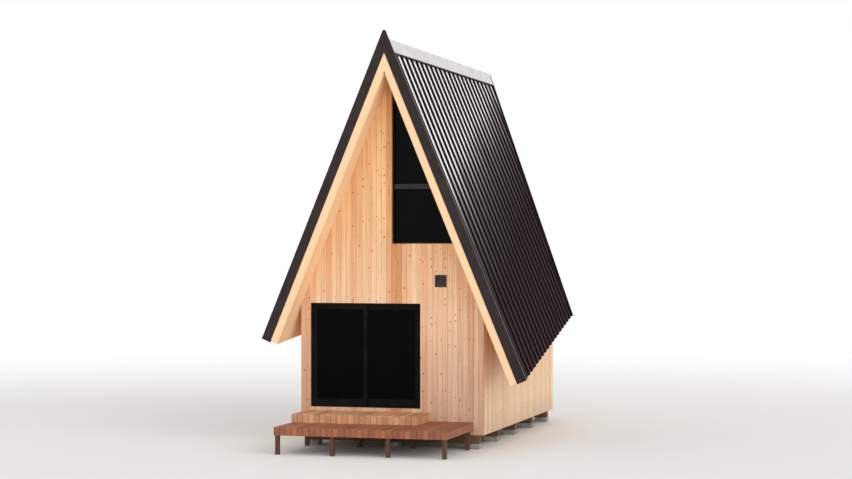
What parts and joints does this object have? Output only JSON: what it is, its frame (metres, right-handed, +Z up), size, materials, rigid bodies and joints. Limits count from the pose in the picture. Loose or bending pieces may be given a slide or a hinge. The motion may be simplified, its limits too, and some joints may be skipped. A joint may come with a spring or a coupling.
{
  "type": "a-frame cabin",
  "caption": "Steep-roofed A-frame cabin with a triangular gable window, a sliding patio door, standing-seam metal roof and a stepped timber deck.",
  "frame": {"origin": "on the ground, under the middle of the front wall's outer face", "axes": "+X to the right along the front wall, +Y from the front wall to the back along the ridge, +Z up"},
  "size_m": [6.3328, 11.5824, 9.6481],
  "materials": {
    "cedar_boards": "clear oiled boards",
    "soffit_boards": "clear oiled boards",
    "structural_timber": "sawn",
    "deck_timber": "stained",
    "roof_metal": "satin coil coating",
    "trim_metal": "satin coil coating",
    "black_frame": "black powder coat",
    "transom_metal": "grey powder coat",
    "dark_glass": "tinted",
    "steel": "plain",
    "pier_concrete": "cast concrete"
  },
  "bodies": {
    "cabin": {"base_beams": "structural_timber", "deck_posts": "deck_timber", "door_head": "black_frame", "door_jambs": "black_frame", "door_sill": "black_frame", "eave_trim_left": "trim_metal", "eave_trim_right": "trim_metal", "fixed_glass": "dark_glass", "fixed_leaf": "black_frame", "floor_bearers": "structural_timber", "floor_platform": "structural_timber", "foundation_piers": "pier_concrete", "front_gable_wall": "cedar_boards", "front_wall_base": "cedar_boards", "front_wall_left": "cedar_boards", "front_wall_right": "cedar_boards", "loft_floor": "structural_timber", "lower_deck_boards": "deck_timber", "lower_deck_frame": "deck_timber", "party_wall_left": "cedar_boards", "party_wall_right": "cedar_boards", "rake_trim_left": "trim_metal", "rake_trim_right": "trim_metal", "rear_trim_left": "trim_metal", "rear_trim_right": "trim_metal", "ridge_cap": "roof_metal", "roof_panel_left": "structural_timber", "roof_panel_right": "structural_timber", "roof_sheet_left": "roof_metal", "roof_sheet_right": "roof_metal", "roof_soffit_left": "soffit_boards", "roof_soffit_right": "soffit_boards", "side_wall_left": "cedar_boards", "side_wall_right": "cedar_boards", "upper_step_boards": "deck_timber", "upper_step_frame": "deck_timber", "wall_vent": "trim_metal", "window_frame": "black_frame", "window_glass_lower": "dark_glass", "window_glass_upper": "dark_glass", "window_transom": "transom_metal"},
    "sliding_door": {"sliding_leaf": "black_frame", "sliding_glass": "dark_glass", "door_rollers": "steel", "door_handles": "black_frame"}
  },
  "joints": [
    {"name": "door_slide", "type": "slide", "parent": "cabin", "child": "sliding_door", "axis": [-1, 0, 0], "range_m": [0, 1.18]}
  ]
}
